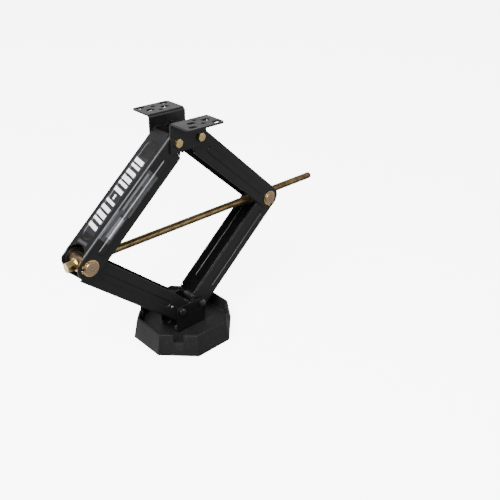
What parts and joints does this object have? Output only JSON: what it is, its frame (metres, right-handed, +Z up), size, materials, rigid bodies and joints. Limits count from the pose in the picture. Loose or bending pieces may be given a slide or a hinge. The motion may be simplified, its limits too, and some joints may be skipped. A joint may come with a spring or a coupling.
{
  "type": "scissor stabilizer jack",
  "caption": "Scissor jack for caravans: a lead screw across geared channel arms raises frame brackets above an octagonal foot pad, or folds them flat.",
  "frame": {"origin": "on the ground under the middle of the base pad, halfway between the two base pivots", "axes": "+X along the lead screw towards its free tip, -Y towards the bolt heads, +Z up towards the vehicle"},
  "size_m": [0.6901, 0.218, 0.5114],
  "materials": {
    "satin_black_paint": "satin black powder coat",
    "matte_black_moulding": "fine moulded texture",
    "yellow_zinc_plate": "yellow zinc dichromate plate",
    "clear_zinc_plate": "clear zinc plate",
    "plain_steel": "plain"
  },
  "bodies": {
    "base": {"base_pad": "matte_black_moulding", "base_bracket": "satin_black_paint", "foot_screw_1": "clear_zinc_plate", "foot_screw_2": "clear_zinc_plate", "foot_screw_3": "clear_zinc_plate", "foot_screw_4": "clear_zinc_plate", "left_base_bolt": "clear_zinc_plate", "left_base_nut": "clear_zinc_plate", "left_base_sleeve": "plain_steel", "right_base_bolt": "clear_zinc_plate", "right_base_nut": "clear_zinc_plate", "right_base_sleeve": "plain_steel"},
    "left_lower_arm": {"left_lower_arm": "satin_black_paint", "lower_arm_rivet": "clear_zinc_plate"},
    "right_lower_arm": {"right_lower_arm": "satin_black_paint"},
    "left_upper_arm": {"left_upper_arm": "satin_black_paint"},
    "right_upper_arm": {"right_upper_arm": "satin_black_paint"},
    "top_brackets": {"front_top_bracket": "satin_black_paint", "rear_top_bracket": "satin_black_paint", "left_top_bolt": "yellow_zinc_plate", "left_top_nut": "yellow_zinc_plate", "left_top_sleeve": "plain_steel", "right_top_bolt": "yellow_zinc_plate", "right_top_nut": "yellow_zinc_plate", "right_top_sleeve": "plain_steel"},
    "drive_trunnion": {"drive_trunnion": "yellow_zinc_plate", "drive_front_ring": "yellow_zinc_plate", "drive_rear_ring": "yellow_zinc_plate"},
    "nut_trunnion": {"nut_trunnion": "yellow_zinc_plate", "nut_front_ring": "yellow_zinc_plate", "nut_rear_ring": "yellow_zinc_plate"},
    "lead_screw": {"lead_screw": "yellow_zinc_plate", "drive_hex": "yellow_zinc_plate", "outer_thrust_washer": "yellow_zinc_plate", "inner_thrust_washer": "yellow_zinc_plate", "stop_collar": "plain_steel", "collar_pin": "plain_steel"}
  },
  "joints": [
    {"name": "fold", "type": "hinge", "parent": "base", "child": "left_lower_arm", "pos_m": [-0.0285, 0, 0.072], "axis": [0, 1, 0], "range_deg": [-38.75, 15.75]},
    {"name": "right_fold", "type": "hinge", "parent": "base", "child": "right_lower_arm", "pos_m": [0.0285, 0, 0.072], "axis": [0, 1, 0], "range_deg": [-15.75, 38.75]},
    {"name": "left_knee", "type": "hinge", "parent": "left_lower_arm", "child": "left_upper_arm", "pos_m": [-0.23973, 0, 0.2707], "axis": [0, 1, 0], "range_deg": [-31.5, 77.5]},
    {"name": "right_knee", "type": "hinge", "parent": "right_lower_arm", "child": "right_upper_arm", "pos_m": [0.23973, 0, 0.2707], "axis": [0, 1, 0], "range_deg": [-77.5, 31.5]},
    {"name": "bracket_tilt", "type": "hinge", "parent": "left_upper_arm", "child": "top_brackets", "pos_m": [-0.0285, 0, 0.46941], "axis": [0, 1, 0], "range_deg": [-38.75, 15.75]},
    {"name": "drive_trunnion_turn", "type": "hinge", "parent": "left_lower_arm", "child": "drive_trunnion", "pos_m": [-0.23973, 0, 0.2707], "axis": [0, 1, 0], "range_deg": [-15.75, 38.75]},
    {"name": "nut_trunnion_turn", "type": "hinge", "parent": "right_lower_arm", "child": "nut_trunnion", "pos_m": [0.23973, 0, 0.2707], "axis": [0, 1, 0], "range_deg": [-38.75, 15.75]},
    {"name": "screw_spin", "type": "hinge", "parent": "drive_trunnion", "child": "lead_screw", "pos_m": [-0.23973, 0, 0.2707], "axis": [1, 0, 0], "continuous": true}
  ],
  "couplings": [
    {"joint": "right_fold", "follows": "fold", "ratio": -1},
    {"joint": "left_knee", "follows": "fold", "ratio": -2},
    {"joint": "right_knee", "follows": "fold", "ratio": 2},
    {"joint": "bracket_tilt", "follows": "fold", "ratio": 1},
    {"joint": "drive_trunnion_turn", "follows": "fold", "ratio": -1},
    {"joint": "nut_trunnion_turn", "follows": "fold", "ratio": 1}
  ]
}
